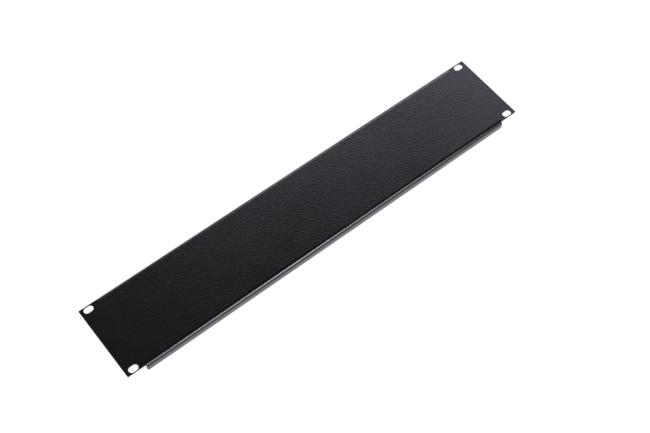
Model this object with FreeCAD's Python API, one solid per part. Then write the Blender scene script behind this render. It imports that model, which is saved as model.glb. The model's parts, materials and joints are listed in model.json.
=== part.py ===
import FreeCAD, Part
import math
import os

# Two-unit blanking panel for a 19-inch rack: one sheet of steel, cut flat, folded back once
# along each long side, and powder coated. It lies face up on the edges of its two flanges.
# Frame: millimetres, X along the panel, Y up the rack face, Z out of the front face.
# The origin is on the surface that the panel lies on, under its middle.

# --- driving sizes -------------------------------------------------------------------
PANEL_WIDTH = 482.6             # over both mounting ears
PANEL_HEIGHT = 88.1             # over the two folded sides
SHEET_THICKNESS = 1.5
BEND_INNER_RADIUS = 3.0
FLANGE_FLAT = 5.5               # flat height of each flange, below its bend
FLANGE_CORNER_RADIUS = 2.0      # rounding of each flange's free corners
EAR_STEP = 1.85                 # how far each ear's edges lie inside the folded sides
EAR_CORNER_RADIUS = 0.5         # rounding of the ears' outer corners

SLOT_LENGTH = 10.0              # end to end, along X
SLOT_WIDTH = 6.7
SLOT_SIDE_LAND = 0.75           # metal between a slot's side and the ear's long edge
SLOT_END_LAND = 3.75            # metal between a slot's outer end and the ear's outer edge
SLOT_INNER_LAND = 6.05          # metal between a slot's inner end and the flanges' ends

# --- sizes that follow from them -----------------------------------------------------
HALF_WIDTH = PANEL_WIDTH / 2
HALF_HEIGHT = PANEL_HEIGHT / 2
BEND_OUTER_RADIUS = BEND_INNER_RADIUS + SHEET_THICKNESS
BEND_AXIS_Y = HALF_HEIGHT - BEND_OUTER_RADIUS
BEND_AXIS_Z = FLANGE_FLAT
FACE_FRONT_Z = FLANGE_FLAT + BEND_OUTER_RADIUS
FACE_BACK_Z = FACE_FRONT_Z - SHEET_THICKNESS

EAR_LENGTH = SLOT_END_LAND + SLOT_LENGTH + SLOT_INNER_LAND
EAR_HALF_HEIGHT = HALF_HEIGHT - EAR_STEP
FLANGE_HALF_LENGTH = HALF_WIDTH - EAR_LENGTH
SLOT_CENTRE_X = HALF_WIDTH - SLOT_END_LAND - SLOT_LENGTH / 2
SLOT_CENTRE_Y = EAR_HALF_HEIGHT - SLOT_SIDE_LAND - SLOT_WIDTH / 2


def line(start, end):
    """A straight edge between two points."""
    return Part.LineSegment(FreeCAD.Vector(*start), FreeCAD.Vector(*end)).toShape()


def arc(start, middle, end):
    """A circular edge from start to end through middle."""
    return Part.Arc(*(FreeCAD.Vector(*point) for point in (start, middle, end))).toShape()


def prism(edges, travel):
    """The solid swept by a closed outline moved along travel."""
    return Part.Face(Part.Wire(edges)).extrude(FreeCAD.Vector(*travel))


def on_bend(side, radius, angle):
    """The point (x, y, z) on one fold's section: side is -1 or 1, angle 0 is on the face."""
    y = side * (BEND_AXIS_Y + radius * math.sin(angle))
    z = BEND_AXIS_Z + radius * math.cos(angle)
    return (-FLANGE_HALF_LENGTH, y, z)


def bend_arc(side, radius):
    """One face of a fold, from the panel's face to its flange."""
    return arc(*(on_bend(side, radius, share * math.pi / 2) for share in (0, 0.5, 1)))


def folded_body():
    """The panel between its ears: the flat face, the two folds and the two flanges."""
    x = -FLANGE_HALF_LENGTH
    outer_y = HALF_HEIGHT
    inner_y = HALF_HEIGHT - SHEET_THICKNESS
    section = [line((x, -BEND_AXIS_Y, FACE_FRONT_Z), (x, BEND_AXIS_Y, FACE_FRONT_Z)),
               line((x, -BEND_AXIS_Y, FACE_BACK_Z), (x, BEND_AXIS_Y, FACE_BACK_Z))]
    for side in (-1, 1):
        section += [bend_arc(side, BEND_OUTER_RADIUS),
                    bend_arc(side, BEND_INNER_RADIUS),
                    line((x, side * outer_y, BEND_AXIS_Z), (x, side * outer_y, 0)),
                    line((x, side * outer_y, 0), (x, side * inner_y, 0)),
                    line((x, side * inner_y, 0), (x, side * inner_y, BEND_AXIS_Z))]
    channel = prism(Part.__sortEdges__(section), (2 * FLANGE_HALF_LENGTH, 0, 0))
    return channel.common(flange_outline())


def flange_outline():
    """The flanges' shape seen from the side, with rounded free corners, through both of them."""
    x = FLANGE_HALF_LENGTH
    y = -HALF_HEIGHT
    radius = FLANGE_CORNER_RADIUS
    cut = radius * (1 - math.sqrt(0.5))
    top = FACE_FRONT_Z
    outline = [line((-x, y, top), (-x, y, radius)),
               arc((-x, y, radius), (-x + cut, y, cut), (-x + radius, y, 0)),
               line((-x + radius, y, 0), (x - radius, y, 0)),
               arc((x - radius, y, 0), (x - cut, y, cut), (x, y, radius)),
               line((x, y, radius), (x, y, top)),
               line((x, y, top), (-x, y, top))]
    return prism(outline, (0, PANEL_HEIGHT, 0))


def mounting_ear(side):
    """One flat ear, from the flanges' ends to the panel's end; side is -1 or 1 along X."""
    inner = side * FLANGE_HALF_LENGTH
    outer = side * HALF_WIDTH
    half = EAR_HALF_HEIGHT
    radius = EAR_CORNER_RADIUS
    cut = radius * (1 - math.sqrt(0.5))
    z = FACE_BACK_Z
    outline = [line((inner, half, z), (inner, -half, z)),
               line((inner, -half, z), (outer - side * radius, -half, z)),
               arc((outer - side * radius, -half, z), (outer - side * cut, -half + cut, z),
                   (outer, -half + radius, z)),
               line((outer, -half + radius, z), (outer, half - radius, z)),
               arc((outer, half - radius, z), (outer - side * cut, half - cut, z),
                   (outer - side * radius, half, z)),
               line((outer - side * radius, half, z), (inner, half, z))]
    return prism(outline, (0, 0, SHEET_THICKNESS))


def slot(side_x, side_y):
    """The round-ended prism that cuts one mounting slot."""
    x = side_x * SLOT_CENTRE_X
    y = side_y * SLOT_CENTRE_Y
    radius = SLOT_WIDTH / 2
    reach = SLOT_LENGTH / 2 - radius
    outline = [line((x - reach, y - radius, 0), (x + reach, y - radius, 0)),
               arc((x + reach, y - radius, 0), (x + reach + radius, y, 0), (x + reach, y + radius, 0)),
               line((x + reach, y + radius, 0), (x - reach, y + radius, 0)),
               arc((x - reach, y + radius, 0), (x - reach - radius, y, 0), (x - reach, y - radius, 0))]
    return prism(outline, (0, 0, FACE_FRONT_Z + SHEET_THICKNESS))


def blanking_panel():
    """The whole folded sheet, as one solid."""
    sheet = folded_body().fuse([mounting_ear(-1), mounting_ear(1)]).removeSplitter()
    for side_x in (-1, 1):
        for side_y in (-1, 1):
            sheet = sheet.cut(slot(side_x, side_y))
    return sheet.Solids[0]


def main():
    """Builds the panel and writes its STEP file."""
    os.makedirs("parts", exist_ok=True)
    panel = blanking_panel()
    panel.exportStep("parts/blanking_panel.step")
    box = panel.BoundBox
    print("blanking_panel valid", panel.isValid(), "solids", len(panel.Solids),
          "size", round(box.XLength, 3), round(box.YLength, 3), round(box.ZLength, 3),
          "volume", round(panel.Volume, 1))


main()
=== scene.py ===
"""A folded steel rack blanking panel in black textured powder coat, standing face up on a pale floor.

The panel is one sheet, made here as it is in the shop: it is cut flat, the coat softens its cut edges,
and its two long sides are folded down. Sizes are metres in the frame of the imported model: X runs along
the panel, Y up the rack face and Z out of the face, and the sheet stands on its two folded sides.
"""

import json
import logging
import math
from dataclasses import dataclass
from enum import Enum
from typing import ClassVar

import bmesh
import bpy
from mathutils import Matrix, Vector


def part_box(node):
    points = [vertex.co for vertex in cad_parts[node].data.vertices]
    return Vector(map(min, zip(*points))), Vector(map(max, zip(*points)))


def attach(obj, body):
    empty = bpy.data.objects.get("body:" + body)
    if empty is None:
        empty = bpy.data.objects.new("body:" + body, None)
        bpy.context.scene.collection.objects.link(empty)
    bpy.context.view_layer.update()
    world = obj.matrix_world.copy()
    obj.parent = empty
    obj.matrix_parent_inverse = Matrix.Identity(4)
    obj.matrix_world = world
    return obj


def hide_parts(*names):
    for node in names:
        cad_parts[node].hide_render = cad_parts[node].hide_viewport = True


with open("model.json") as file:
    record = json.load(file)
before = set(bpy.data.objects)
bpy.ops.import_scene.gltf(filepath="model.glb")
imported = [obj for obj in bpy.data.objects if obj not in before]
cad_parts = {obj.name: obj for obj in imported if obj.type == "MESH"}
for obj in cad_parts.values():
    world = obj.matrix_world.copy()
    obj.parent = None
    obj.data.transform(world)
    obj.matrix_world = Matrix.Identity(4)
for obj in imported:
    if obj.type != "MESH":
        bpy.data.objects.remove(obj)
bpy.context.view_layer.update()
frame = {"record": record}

MILLIMETRE = 0.001
WELD_DISTANCE = 1e-7
ON_THE_LEVEL = 0.999
ROUND_PROFILE = 0.5
Z_AXIS = Vector((0.0, 0.0, 1.0))

Colour = tuple[float, float, float]
WHITE: Colour = (1.0, 1.0, 1.0)
LAMP_WHITE: Colour = (0.97, 0.98, 1.0)
WARM_WHITE: Colour = (1.0, 0.985, 0.95)
COOL_WHITE: Colour = (0.94, 0.935, 1.0)

log = logging.getLogger("blanking_panel")


class End(Enum):
    """The two ends of the panel, by the sign of their X."""

    LEFT = -1
    RIGHT = 1


class Edge(Enum):
    """The two long sides of the panel, by the sign of their Y."""

    LOWER = -1
    UPPER = 1


@dataclass(frozen=True)
class Corner:
    """A corner of a cut outline and the radius that rounds it."""

    x: float
    y: float
    radius: float = 0.0

    @property
    def point(self) -> Vector:
        """The sharp corner's place on the flat sheet."""
        return Vector((self.x, self.y, 0.0))


def rounded_outline(corners: list[Corner], steps: int) -> list[Vector]:
    """Joins corners into a closed outline with an arc at each corner that has a radius.

    Args:
        corners: the sharp corners, in order round the outline.
        steps: the straight steps in each arc.

    Returns:
        The outline's points, in the same order.
    """
    outline: list[Vector] = []
    for index, corner in enumerate(corners):
        here = corner.point
        if not corner.radius:
            outline.append(here)
            continue
        back = (corners[index - 1].point - here).normalized()
        ahead = (corners[(index + 1) % len(corners)].point - here).normalized()
        half_angle = back.angle(ahead) / 2
        centre = here + (back + ahead).normalized() * corner.radius / math.sin(half_angle)
        tangent = corner.radius / math.tan(half_angle)
        start = (here + back * tangent - centre).normalized()
        end = (here + ahead * tangent - centre).normalized()
        for step in range(steps + 1):
            outline.append(centre + start.slerp(end, step / steps) * corner.radius)
    return outline


@dataclass(frozen=True)
class PanelSizes:
    """The folded sheet's sizes in metres."""

    length: float
    height: float
    depth: float
    slot_spacing_x: float
    slot_spacing_y: float
    slot_length: float
    slot_width: float
    sheet: float = 1.5 * MILLIMETRE
    fold_inner_radius: float = 3.0 * MILLIMETRE
    ear_length: float = 19.8 * MILLIMETRE
    ear_step: float = 1.85 * MILLIMETRE
    ear_corner_radius: float = 0.5 * MILLIMETRE
    flange_corner_radius: float = 2.0 * MILLIMETRE
    relief_width: float = 0.02 * MILLIMETRE
    edge_radius: float = 0.25 * MILLIMETRE

    @classmethod
    def from_frame(cls) -> "PanelSizes":
        """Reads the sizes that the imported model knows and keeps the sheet's own for the rest.

        Returns:
            The sizes of the whole panel.
        """
        low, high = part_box("blanking_panel")
        slots = next(m for m in frame["record"]["mounts"] if m["name"] == "rack_slots")["dims"]
        return cls(
            length=high.x - low.x,
            height=high.y - low.y,
            depth=high.z - low.z,
            slot_spacing_x=slots["spacing_x_mm"] * MILLIMETRE,
            slot_spacing_y=slots["spacing_y_mm"] * MILLIMETRE,
            slot_length=slots["slot_length_mm"] * MILLIMETRE,
            slot_width=2 * slots["hole_r_mm"] * MILLIMETRE,
        )

    @property
    def fold_radius(self) -> float:
        """The outer radius of the two folds."""
        return self.fold_inner_radius + self.sheet

    @property
    def fold_line(self) -> float:
        """The distance from the middle of the panel to where a fold begins."""
        return self.height / 2 - self.fold_radius

    @property
    def fold_arc(self) -> float:
        """The length of a fold along the outer skin."""
        return self.fold_radius * math.pi / 2

    @property
    def flange_end(self) -> float:
        """The X of the ends of the folded sides."""
        return self.length / 2 - self.ear_length

    @property
    def blank_edge(self) -> float:
        """The Y of the flat sheet's long edges, before they are folded."""
        return self.fold_line + self.fold_arc + self.depth - self.fold_radius

    @property
    def ear_edge(self) -> float:
        """The Y of the mounting ears' long edges, which stand back from the folded sides."""
        return self.height / 2 - self.ear_step


@dataclass(frozen=True)
class MeshFineness:
    """How finely the sheet is divided."""

    corner_steps: int = 6
    slot_end_steps: int = 24
    edge_segments: int = 4
    fold_steps: int = 24
    length_steps: int = 30


class FlatBlank:
    """The sheet as it leaves the punch: flat, with its slots and softened edges, its front at z = 0."""

    def __init__(self, sizes: PanelSizes, fineness: MeshFineness) -> None:
        """Keeps the sizes and starts with no metal.

        Args:
            sizes: the panel's sizes.
            fineness: how finely the sheet is divided.
        """
        self.sizes = sizes
        self.fineness = fineness
        self.mesh = bmesh.new()

    def cut(self) -> bmesh.types.BMesh:
        """Cuts the flat sheet, gives it its thickness and softens its cut edges.

        Returns:
            The closed flat sheet, divided where it will be folded.
        """
        self._cut_body()
        for end in End:
            self._cut_ear(end)
        bmesh.ops.remove_doubles(self.mesh, verts=self.mesh.verts[:], dist=WELD_DISTANCE)
        self._thicken()
        self._soften_cut_edges()
        self._divide()
        return self.mesh

    def _cut_body(self) -> None:
        """Adds the middle of the sheet with the strips that become the folded sides."""
        s = self.sizes
        right, edge, root, radius = s.flange_end, s.blank_edge, s.fold_line, s.flange_corner_radius
        corners = [
            Corner(-right, -edge, radius),
            Corner(right, -edge, radius),
            Corner(right, -s.ear_edge),
            Corner(right, -root),
            Corner(right, root),
            Corner(right, s.ear_edge),
            Corner(right, edge, radius),
            Corner(-right, edge, radius),
            Corner(-right, s.ear_edge),
            Corner(-right, root),
            Corner(-right, -root),
            Corner(-right, -s.ear_edge),
        ]
        outline = rounded_outline(corners, self.fineness.corner_steps)
        self.mesh.faces.new([self.mesh.verts.new(point) for point in outline])

    def _cut_ear(self, end: End) -> None:
        """Adds one mounting ear with its two slots and the short slits that free the folds from it.

        Args:
            end: the end of the panel that the ear is on.
        """
        s, side = self.sizes, end.value
        slit = side * (s.flange_end + s.relief_width)
        tip = side * s.length / 2
        upper_half = [
            Corner(tip, s.ear_edge, s.ear_corner_radius),
            Corner(slit, s.ear_edge),
            Corner(slit, s.fold_line),
            Corner(side * s.flange_end, s.fold_line),
        ]
        lower_half = [Corner(corner.x, -corner.y, corner.radius) for corner in reversed(upper_half)]
        loops = [rounded_outline(upper_half + lower_half, self.fineness.corner_steps)]
        loops += [self._slot(end, edge) for edge in Edge]
        edges = [joint for loop in loops for joint in self._closed_loop(loop)]
        bmesh.ops.triangle_fill(self.mesh, use_beauty=True, edges=edges, normal=Z_AXIS)

    def _slot(self, end: End, edge: Edge) -> list[Vector]:
        """Lays out one mounting slot, a straight slot with round ends.

        Args:
            end: the end of the panel that the slot is at.
            edge: the long side that the slot is at.

        Returns:
            The points of the slot's outline.
        """
        s = self.sizes
        radius = s.slot_width / 2
        reach = s.slot_length / 2 - radius
        centre = Vector((end.value * s.slot_spacing_x / 2, edge.value * s.slot_spacing_y / 2, 0.0))
        outline = []
        for side in End:
            for step in range(self.fineness.slot_end_steps + 1):
                turn = math.pi * (step / self.fineness.slot_end_steps - 1 / 2)
                arc = Vector((reach + radius * math.cos(turn), radius * math.sin(turn), 0.0))
                outline.append(centre + side.value * arc)
        return outline

    def _closed_loop(self, outline: list[Vector]) -> list[bmesh.types.BMEdge]:
        """Adds an outline's points and the edges that join them round.

        Args:
            outline: the outline's points in order.

        Returns:
            The edges of the loop.
        """
        points = [self.mesh.verts.new(point) for point in outline]
        return [self.mesh.edges.new((points[i - 1], points[i])) for i in range(len(points))]

    def _thicken(self) -> None:
        """Gives the sheet its thickness behind the front skin."""
        grown = bmesh.ops.extrude_face_region(self.mesh, geom=self.mesh.faces[:])["geom"]
        back_points = [item for item in grown if isinstance(item, bmesh.types.BMVert)]
        bmesh.ops.translate(self.mesh, verts=back_points, vec=-self.sizes.sheet * Z_AXIS)
        bmesh.ops.recalc_face_normals(self.mesh, faces=self.mesh.faces[:])

    def _soften_cut_edges(self) -> None:
        """Rounds the front and back rims of every cut, as the coat does."""
        rims = []
        for edge in self.mesh.edges:
            levels = sorted(abs(face.normal.z) for face in edge.link_faces)
            is_rim = levels[0] < 1 - ON_THE_LEVEL and levels[-1] > ON_THE_LEVEL
            if is_rim and not all(self._in_a_slit(vert.co) for vert in edge.verts):
                rims.append(edge)
        bmesh.ops.bevel(
            self.mesh,
            geom=rims,
            offset=self.sizes.edge_radius,
            offset_type="OFFSET",
            segments=self.fineness.edge_segments,
            profile=ROUND_PROFILE,
            affect="EDGES",
        )

    def _in_a_slit(self, place: Vector) -> bool:
        """Tells the closed slits between the folds and the ears from the open cuts.

        Args:
            place: a point of the flat sheet.

        Returns:
            True on the walls of a slit.
        """
        s = self.sizes
        across = abs(place.x) - s.flange_end
        along = abs(place.y)
        beside = -WELD_DISTANCE < across < s.relief_width + WELD_DISTANCE
        return beside and s.fold_line - WELD_DISTANCE < along < s.ear_edge + WELD_DISTANCE

    def _divide(self) -> None:
        """Divides the sheet across its length, and along the strips that bend."""
        s, fine = self.sizes, self.fineness
        cuts = []
        for step in range(fine.length_steps + 1):
            x = s.flange_end * (2 * step / fine.length_steps - 1)
            cuts.append((Vector((x, 0.0, 0.0)), Vector((1.0, 0.0, 0.0))))
        for edge in Edge:
            for step in range(fine.fold_steps + 1):
                y = edge.value * (s.fold_line + s.fold_arc * step / fine.fold_steps)
                cuts.append((Vector((0.0, y, 0.0)), Vector((0.0, 1.0, 0.0))))
        for place, across in cuts:
            everything = self.mesh.verts[:] + self.mesh.edges[:] + self.mesh.faces[:]
            bmesh.ops.bisect_plane(
                self.mesh, geom=everything, dist=WELD_DISTANCE, plane_co=place, plane_no=across
            )


class FoldedPanel:
    """The blanking panel: the flat sheet with its two long sides folded down, and its coat."""

    def __init__(self, sizes: PanelSizes, fineness: MeshFineness, coat: "PowderCoat") -> None:
        """Keeps what the panel is made from.

        Args:
            sizes: the panel's sizes.
            fineness: how finely the sheet is divided.
            coat: the finish on the sheet.
        """
        self.sizes = sizes
        self.fineness = fineness
        self.coat = coat

    def make(self) -> bpy.types.Object:
        """Cuts, folds and coats the sheet, and puts it in the place of the CAD panel.

        Returns:
            The finished panel.
        """
        blank = FlatBlank(self.sizes, self.fineness).cut()
        cut_faces = [float(abs(face.normal.z) < ON_THE_LEVEL) for face in blank.faces]
        normals, stretch = self._fold(blank)
        mesh = bpy.data.meshes.new("folded_panel")
        blank.to_mesh(mesh)
        blank.free()
        mesh.shade_smooth()
        mesh.normals_split_custom_set_from_vertices(normals)
        mesh.attributes.new(PowderCoat.CUT_EDGE, "FLOAT", "FACE").data.foreach_set("value", cut_faces)
        mesh.attributes.new(PowderCoat.FOLD, "FLOAT", "POINT").data.foreach_set("value", stretch)
        mesh.materials.append(self.coat.material())
        panel = bpy.data.objects.new("folded_panel", mesh)
        bpy.context.scene.collection.objects.link(panel)
        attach(panel, "root")
        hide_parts("blanking_panel")
        return panel

    def _fold(self, blank: bmesh.types.BMesh) -> tuple[list[Vector], list[float]]:
        """Folds the long sides of the flat sheet down.

        Args:
            blank: the flat sheet, whose points are moved.

        Returns:
            The normal at each point of the folded sheet, and how much the fold stretches the coat
            there: 0 on the flats and 1 in the middle of a fold.
        """
        normals = [self._flat_normal(vert) for vert in blank.verts]
        stretch = []
        for index, vert in enumerate(blank.verts):
            angle = self._fold_angle(vert.co)
            stretch.append(math.sin(2 * abs(angle)))
            normals[index] = Matrix.Rotation(-angle, 3, "X") @ normals[index]
            vert.co = self._folded(vert.co, angle)
        return normals, stretch

    def _flat_normal(self, vert: bmesh.types.BMVert) -> Vector:
        """Gives a point of the flat sheet the normal of the true form, not of its small faces.

        Args:
            vert: a point of the flat sheet.

        Returns:
            Straight up or down on the skins, straight out on the cut walls, and between on the rims.
        """
        for face in vert.link_faces:
            if abs(face.normal.z) > ON_THE_LEVEL:
                return Z_AXIS * math.copysign(1.0, face.normal.z)
        walls = [face.normal for face in vert.link_faces if abs(face.normal.z) < 1 - ON_THE_LEVEL]
        if walls:
            return sum(walls, Vector()).normalized()
        return vert.normal.copy()

    def _fold_angle(self, place: Vector) -> float:
        """Works out how far the sheet has turned over at a place on the flat sheet.

        Args:
            place: a point of the flat sheet.

        Returns:
            The turn about X in radians, signed by the long side, and 0 on the face and the ears.
        """
        s = self.sizes
        past_line = abs(place.y) - s.fold_line
        on_an_ear = abs(place.x) > s.flange_end + s.relief_width / 2
        if past_line <= 0 or on_an_ear:
            return 0.0
        return math.copysign(min(past_line / s.fold_radius, math.pi / 2), place.y)

    def _folded(self, place: Vector, angle: float) -> Vector:
        """Moves a point of the flat sheet to where folding takes it.

        Args:
            place: a point of the flat sheet, with its front at z = 0.
            angle: the turn there, signed by the long side.

        Returns:
            The point on the folded panel, which stands on z = 0.
        """
        s = self.sizes
        if not angle:
            return Vector((place.x, place.y, place.z + s.depth))
        side = math.copysign(1.0, angle)
        turn = abs(angle)
        reach = s.fold_radius + place.z
        beyond = abs(place.y) - s.fold_line - s.fold_radius * turn
        out = s.fold_line + reach * math.sin(turn) + beyond * math.cos(turn)
        up = s.depth - s.fold_radius + reach * math.cos(turn) - beyond * math.sin(turn)
        return Vector((place.x, side * out, up))


def opaque(colour: Colour) -> tuple[float, ...]:
    """Gives a colour the full alpha that a colour socket wants."""
    return (*colour, 1.0)


class ShaderBench:
    """Adds shader nodes to one tree and joins them."""

    def __init__(self, tree: bpy.types.ShaderNodeTree) -> None:
        """Clears the tree.

        Args:
            tree: the node tree of a material or of the world.
        """
        self.tree = tree
        tree.nodes.clear()

    def node(
        self, kind: str, inputs: dict[str | int, object] | None = None, **settings: str
    ) -> bpy.types.ShaderNode:
        """Adds one node.

        Args:
            kind: the node's type.
            inputs: a value, or another node's output, for each input by its name or number.
            **settings: the node's own settings.

        Returns:
            The new node.
        """
        new = self.tree.nodes.new(kind)
        for name, value in settings.items():
            setattr(new, name, value)
        for name, value in (inputs or {}).items():
            if isinstance(value, bpy.types.NodeSocket):
                self.tree.links.new(value, new.inputs[name])
            else:
                new.inputs[name].default_value = value
        return new


@dataclass(frozen=True)
class PowderCoat:
    """Black semi-gloss powder coat that dries to a fine leather-like skin. Sizes are metres."""

    CUT_EDGE: ClassVar[str] = "cut_edge"
    FOLD: ClassVar[str] = "fold"

    colour: Colour = (0.0030, 0.0030, 0.0034)
    cloud_colour: Colour = (0.0050, 0.0050, 0.0055)
    reflection_tint: Colour = (0.79, 0.82, 1.0)
    ior: float = 1.45
    skin_weight: float = 0.6
    skin_roughness: float = 0.28
    skin_ior: float = 1.5
    smooth_roughness: float = 0.278
    dull_roughness: float = 0.325
    fold_roughness: float = 0.13
    fold_smoothing: float = 0.7
    cut_edge_roughness: float = 0.8
    wrinkle_size: float = 0.0017
    wrinkle_height: float = 0.00012
    wrinkle_stretch: float = 2.6
    wrinkle_angle: float = -35.0
    wrinkle_layers: float = 2.0
    grain_size: float = 0.0009
    grain_height: float = 0.00002
    grain_layers: float = 2.0
    cloud_size: float = 0.06
    cloud_layers: float = 3.0
    gloss_cloud_size: float = 0.03
    gloss_cloud_layers: float = 4.0
    layer_strength: float = 0.5
    cloud_low: float = 0.3
    cloud_high: float = 0.7

    def material(self) -> bpy.types.Material:
        """Mixes the coat.

        Returns:
            The coat as a node material.
        """
        coat = bpy.data.materials.new("black_powder_coat")
        coat.use_nodes = True
        bench = ShaderBench(coat.node_tree)
        place = bench.node("ShaderNodeTexCoord").outputs["Object"]
        relief = self._relief(bench, place)
        shader = bench.node(
            "ShaderNodeBsdfPrincipled",
            {
                "Base Color": self._colour(bench, place),
                "Roughness": self._roughness(bench, place),
                "Normal": relief,
                "IOR": self.ior,
                "Specular Tint": opaque(self.reflection_tint),
                "Coat Weight": self.skin_weight,
                "Coat Roughness": self.skin_roughness,
                "Coat IOR": self.skin_ior,
                "Coat Normal": relief,
            },
        )
        bench.node("ShaderNodeOutputMaterial", {"Surface": shader.outputs["BSDF"]})
        return coat

    def _noise(
        self, bench: ShaderBench, place: bpy.types.NodeSocket, size: float, layers: float
    ) -> bpy.types.NodeSocket:
        """Adds a noise with features of a real size.

        Args:
            bench: the material's bench.
            place: the place on the panel.
            size: the features' size in metres.
            layers: how many finer layers it has.

        Returns:
            The noise, about 0.5.
        """
        inputs = {"Vector": place, "Scale": 1 / size, "Detail": layers, "Roughness": self.layer_strength}
        return bench.node("ShaderNodeTexNoise", inputs).outputs["Fac"]

    def _mark(self, bench: ShaderBench, name: str) -> bpy.types.NodeSocket:
        """Reads one of the marks that the sheet carries, CUT_EDGE or FOLD."""
        return bench.node("ShaderNodeAttribute", attribute_name=name).outputs["Fac"]

    def _blend(
        self,
        bench: ShaderBench,
        share: bpy.types.NodeSocket,
        start: bpy.types.NodeSocket | float,
        end: float,
    ) -> bpy.types.NodeSocket:
        """Goes from one value to another as a share goes from 0 to 1.

        Args:
            bench: the material's bench.
            share: the share of the end value.
            start: the value at share 0.
            end: the value at share 1.

        Returns:
            The blended value.
        """
        inputs = {"Value": share, "To Min": start, "To Max": end}
        return bench.node("ShaderNodeMapRange", inputs).outputs["Result"]

    def _colour(self, bench: ShaderBench, place: bpy.types.NodeSocket) -> bpy.types.NodeSocket:
        """Colours the coat, which is faintly cloudy.

        Args:
            bench: the material's bench.
            place: the place on the panel.

        Returns:
            The colour.
        """
        cloud = self._noise(bench, place, self.cloud_size, self.cloud_layers)
        share = bench.node(
            "ShaderNodeMapRange",
            {"Value": cloud, "From Min": self.cloud_low, "From Max": self.cloud_high},
        )
        colours = {"A": opaque(self.colour), "B": opaque(self.cloud_colour)}
        mixed = bench.node(
            "ShaderNodeMix", {"Factor": share.outputs["Result"], **colours}, data_type="RGBA"
        )
        return mixed.outputs["Result"]

    def _roughness(self, bench: ShaderBench, place: bpy.types.NodeSocket) -> bpy.types.NodeSocket:
        """Varies the gloss a little, shines the coat over the folds and dulls it on the cut edges.

        Args:
            bench: the material's bench.
            place: the place on the panel.

        Returns:
            The roughness.
        """
        cloud = self._noise(bench, place, self.gloss_cloud_size, self.gloss_cloud_layers)
        gloss = bench.node(
            "ShaderNodeMapRange",
            {
                "Value": cloud,
                "From Min": self.cloud_low,
                "From Max": self.cloud_high,
                "To Min": self.smooth_roughness,
                "To Max": self.dull_roughness,
            },
        )
        fold = self._mark(bench, self.FOLD)
        shone = self._blend(bench, fold, gloss.outputs["Result"], self.fold_roughness)
        cut = self._mark(bench, self.CUT_EDGE)
        return self._blend(bench, cut, shone, self.cut_edge_roughness)

    def _relief(self, bench: ShaderBench, place: bpy.types.NodeSocket) -> bpy.types.NodeSocket:
        """Raises the leather-like wrinkles, which lie flatter over the folds, and their fine grain.

        Args:
            bench: the material's bench.
            place: the place on the panel.

        Returns:
            The normal.
        """
        drawn = bench.node(
            "ShaderNodeMapping",
            {
                "Vector": place,
                "Rotation": (0.0, 0.0, math.radians(self.wrinkle_angle)),
                "Scale": (self.wrinkle_stretch, 1.0, 1.0),
            },
            vector_type="TEXTURE",
        )
        wrinkles = self._noise(
            bench, drawn.outputs["Vector"], self.wrinkle_size, self.wrinkle_layers
        )
        grain = self._noise(bench, place, self.grain_size, self.grain_layers)
        depth = self._blend(bench, self._mark(bench, self.FOLD), 1.0, 1 - self.fold_smoothing)
        grained = bench.node("ShaderNodeBump", {"Height": grain, "Distance": self.grain_height})
        wrinkled = bench.node(
            "ShaderNodeBump",
            {
                "Height": wrinkles,
                "Distance": self.wrinkle_height,
                "Strength": depth,
                "Normal": grained.outputs["Normal"],
            },
        )
        return wrinkled.outputs["Normal"]


@dataclass(frozen=True)
class SoftBox:
    """A soft lamp that faces the panel. Angles are degrees and sizes metres."""

    name: str
    azimuth: float
    elevation: float
    radiance: float
    colour: Colour = LAMP_WHITE
    width: float = 0.63
    height: float = 0.4
    distance: float = 1.8

    def hang(self) -> bpy.types.Object:
        """Hangs the lamp where its angles say, facing the panel.

        Returns:
            The lamp.
        """
        lamp = bpy.data.lights.new(self.name, "AREA")
        lamp.shape = "RECTANGLE"
        lamp.size = self.width
        lamp.size_y = self.height
        lamp.color = self.colour
        lamp.energy = self.radiance * math.pi * self.width * self.height
        hung = bpy.data.objects.new(self.name, lamp)
        hung.location = direction(self.azimuth, self.elevation) * self.distance
        hung.rotation_euler = hung.location.to_track_quat("Z", "Y").to_euler()
        hung.visible_camera = False
        bpy.context.scene.collection.objects.link(hung)
        return hung


def direction(azimuth: float, elevation: float) -> Vector:
    """Points from the panel towards a place round it.

    Args:
        azimuth: degrees from straight below the panel's lower side, positive towards its right end.
        elevation: degrees above the floor.

    Returns:
        A direction of length 1.
    """
    turn, rise = math.radians(azimuth), math.radians(elevation)
    level = math.cos(rise)
    return Vector((level * math.sin(turn), -level * math.cos(turn), math.sin(rise)))


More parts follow.
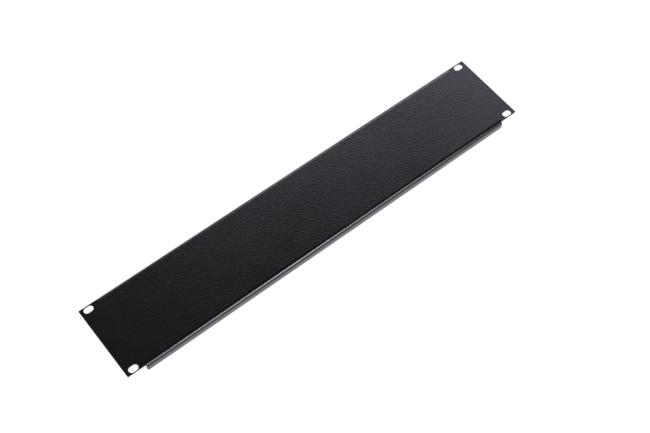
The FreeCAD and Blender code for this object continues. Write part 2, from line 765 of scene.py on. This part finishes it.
@dataclass(frozen=True)
class Studio:
    """A floor that shows white, a white cove under a dim ceiling, and the lamps round the panel."""

    floor_size: float = 12.0
    floor_gap: float = 0.00005
    floor_colour: Colour = (0.86, 0.87, 0.9)
    shown_colour: Colour = (0.3, 0.3, 0.3)
    shown_glow: float = 0.89
    shown_glow_colour: Colour = (0.94, 0.965, 1.0)
    cove_glow: float = 1.0
    ceiling_glow: float = 0.01
    cove_top: float = 10.0
    ceiling_start: float = 24.0
    lamps: tuple[SoftBox, ...] = (
        SoftBox("near_softbox", 10.0, 34.5, 13.0, WARM_WHITE, width=0.55, height=0.36),
        SoftBox("near_low_softbox", 10.0, 26.0, 7.0, WARM_WHITE, width=0.55, height=0.16),
        SoftBox("near_side_softbox", 26.0, 34.5, 10.0, WARM_WHITE, width=0.55, height=0.36),
        SoftBox("far_right_softbox", 110.0, 47.0, 1.15, COOL_WHITE),
        SoftBox("far_softbox", 130.0, 34.0, 5.2, COOL_WHITE),
        SoftBox("far_middle_softbox", 150.0, 34.0, 3.7),
        SoftBox("far_high_softbox", 150.0, 47.0, 1.45),
        SoftBox("far_left_softbox", 170.0, 34.0, 0.85),
        SoftBox("far_left_high_softbox", 170.0, 47.0, 0.55),
        SoftBox("left_softbox", -80.0, 45.0, 4.5, width=1.2, height=1.2, distance=2.0),
    )

    def build(self) -> None:
        """Lays the floor, paints the cove and hangs the lamps."""
        self._floor()
        self._cove()
        for lamp in self.lamps:
            lamp.hang()
            log.info("%s is hung", lamp.name)

    def _floor(self) -> None:
        """Lays the pale floor that the panel stands on."""
        half = self.floor_size / 2
        corners = [(-half, -half), (half, -half), (half, half), (-half, half)]
        mesh = bpy.data.meshes.new("floor")
        mesh.from_pydata([(x, y, -self.floor_gap) for x, y in corners], [], [(0, 1, 2, 3)])
        mesh.materials.append(self._floor_paint())
        floor = bpy.data.objects.new("floor", mesh)
        bpy.context.scene.collection.objects.link(floor)

    def _floor_paint(self) -> bpy.types.Material:
        """Mixes the floor's paint, which shows white and keeps the panel's soft shadow.

        Returns:
            The paint as a node material.
        """
        paint = bpy.data.materials.new("floor_paint")
        paint.use_nodes = True
        bench = ShaderBench(paint.node_tree)
        plain = bench.node("ShaderNodeBsdfDiffuse", {"Color": opaque(self.floor_colour)})
        shown = bench.node("ShaderNodeBsdfDiffuse", {"Color": opaque(self.shown_colour)})
        glow = bench.node(
            "ShaderNodeEmission",
            {"Color": opaque(self.shown_glow_colour), "Strength": self.shown_glow},
        )
        lifted = bench.node(
            "ShaderNodeAddShader", {0: shown.outputs["BSDF"], 1: glow.outputs["Emission"]}
        )
        mixed = bench.node(
            "ShaderNodeMixShader",
            {"Fac": self._seen(bench), 1: plain.outputs["BSDF"], 2: lifted.outputs["Shader"]},
        )
        bench.node("ShaderNodeOutputMaterial", {"Surface": mixed.outputs["Shader"]})
        return paint

    def _seen(self, bench: ShaderBench) -> bpy.types.NodeSocket:
        """Tells the rays that show a surface from those that only carry its light.

        Args:
            bench: the material's bench.

        Returns:
            1 for camera, mirror and clear rays, and 0 for the rest.
        """
        rays = bench.node("ShaderNodeLightPath").outputs
        found = rays["Is Camera Ray"]
        for name in ("Is Glossy Ray", "Is Transmission Ray"):
            either = bench.node("ShaderNodeMath", {0: found, 1: rays[name]}, operation="MAXIMUM")
            found = either.outputs["Value"]
        return found

    def _cove(self) -> None:
        """Paints the world: a white cove at the horizon under a dim ceiling."""
        world = bpy.data.worlds.new("cove")
        world.use_nodes = True
        bpy.context.scene.world = world
        bench = ShaderBench(world.node_tree)
        way = bench.node("ShaderNodeTexCoord").outputs["Generated"]
        height = bench.node("ShaderNodeSeparateXYZ", {"Vector": way}).outputs["Z"]
        glow = bench.node(
            "ShaderNodeMapRange",
            {
                "Value": height,
                "From Min": math.sin(math.radians(self.cove_top)),
                "From Max": math.sin(math.radians(self.ceiling_start)),
                "To Min": self.cove_glow,
                "To Max": self.ceiling_glow,
            },
            interpolation_type="SMOOTHSTEP",
        )
        light = bench.node(
            "ShaderNodeBackground", {"Color": opaque(WHITE), "Strength": glow.outputs["Result"]}
        )
        bench.node("ShaderNodeOutputWorld", {"Surface": light.outputs["Background"]})


@dataclass(frozen=True)
class StudioCamera:
    """The camera, by where it looks and from where. Angles are degrees and sizes metres."""

    lens: float = 65.032
    azimuth: float = -38.833
    elevation: float = 59.515
    roll: float = 0.684
    distance: float = 1.15981
    aim_x: float = 0.005943
    aim_y: float = -0.019551

    def place(self, face_height: float) -> bpy.types.Object:
        """Puts the camera on its stand and makes it the scene's camera.

        Args:
            face_height: the height of the panel's face over the floor.

        Returns:
            The camera.
        """
        data = bpy.data.cameras.new("studio_camera")
        data.lens = self.lens
        camera = bpy.data.objects.new("studio_camera", data)
        aim = Vector((self.aim_x, self.aim_y, face_height))
        back = direction(self.azimuth, self.elevation)
        level = back.to_track_quat("Z", "Y").to_matrix().to_4x4()
        tilt = Matrix.Rotation(math.radians(self.roll), 4, "Z")
        camera.matrix_world = Matrix.Translation(aim + back * self.distance) @ level @ tilt
        bpy.context.scene.collection.objects.link(camera)
        bpy.context.scene.camera = camera
        return camera


def main() -> None:
    """Builds the panel, the studio and the camera."""
    logging.basicConfig(level=logging.INFO, format="%(message)s")
    bpy.context.scene.view_settings.view_transform = "Standard"
    sizes = PanelSizes.from_frame()
    panel = FoldedPanel(sizes, MeshFineness(), PowderCoat()).make()
    log.info("%s has %d faces", panel.name, len(panel.data.polygons))
    Studio().build()
    camera = StudioCamera().place(sizes.depth)
    log.info("%s stands at %s", camera.name, tuple(round(x, 3) for x in camera.location))


if __name__ == "__main__":
    main()
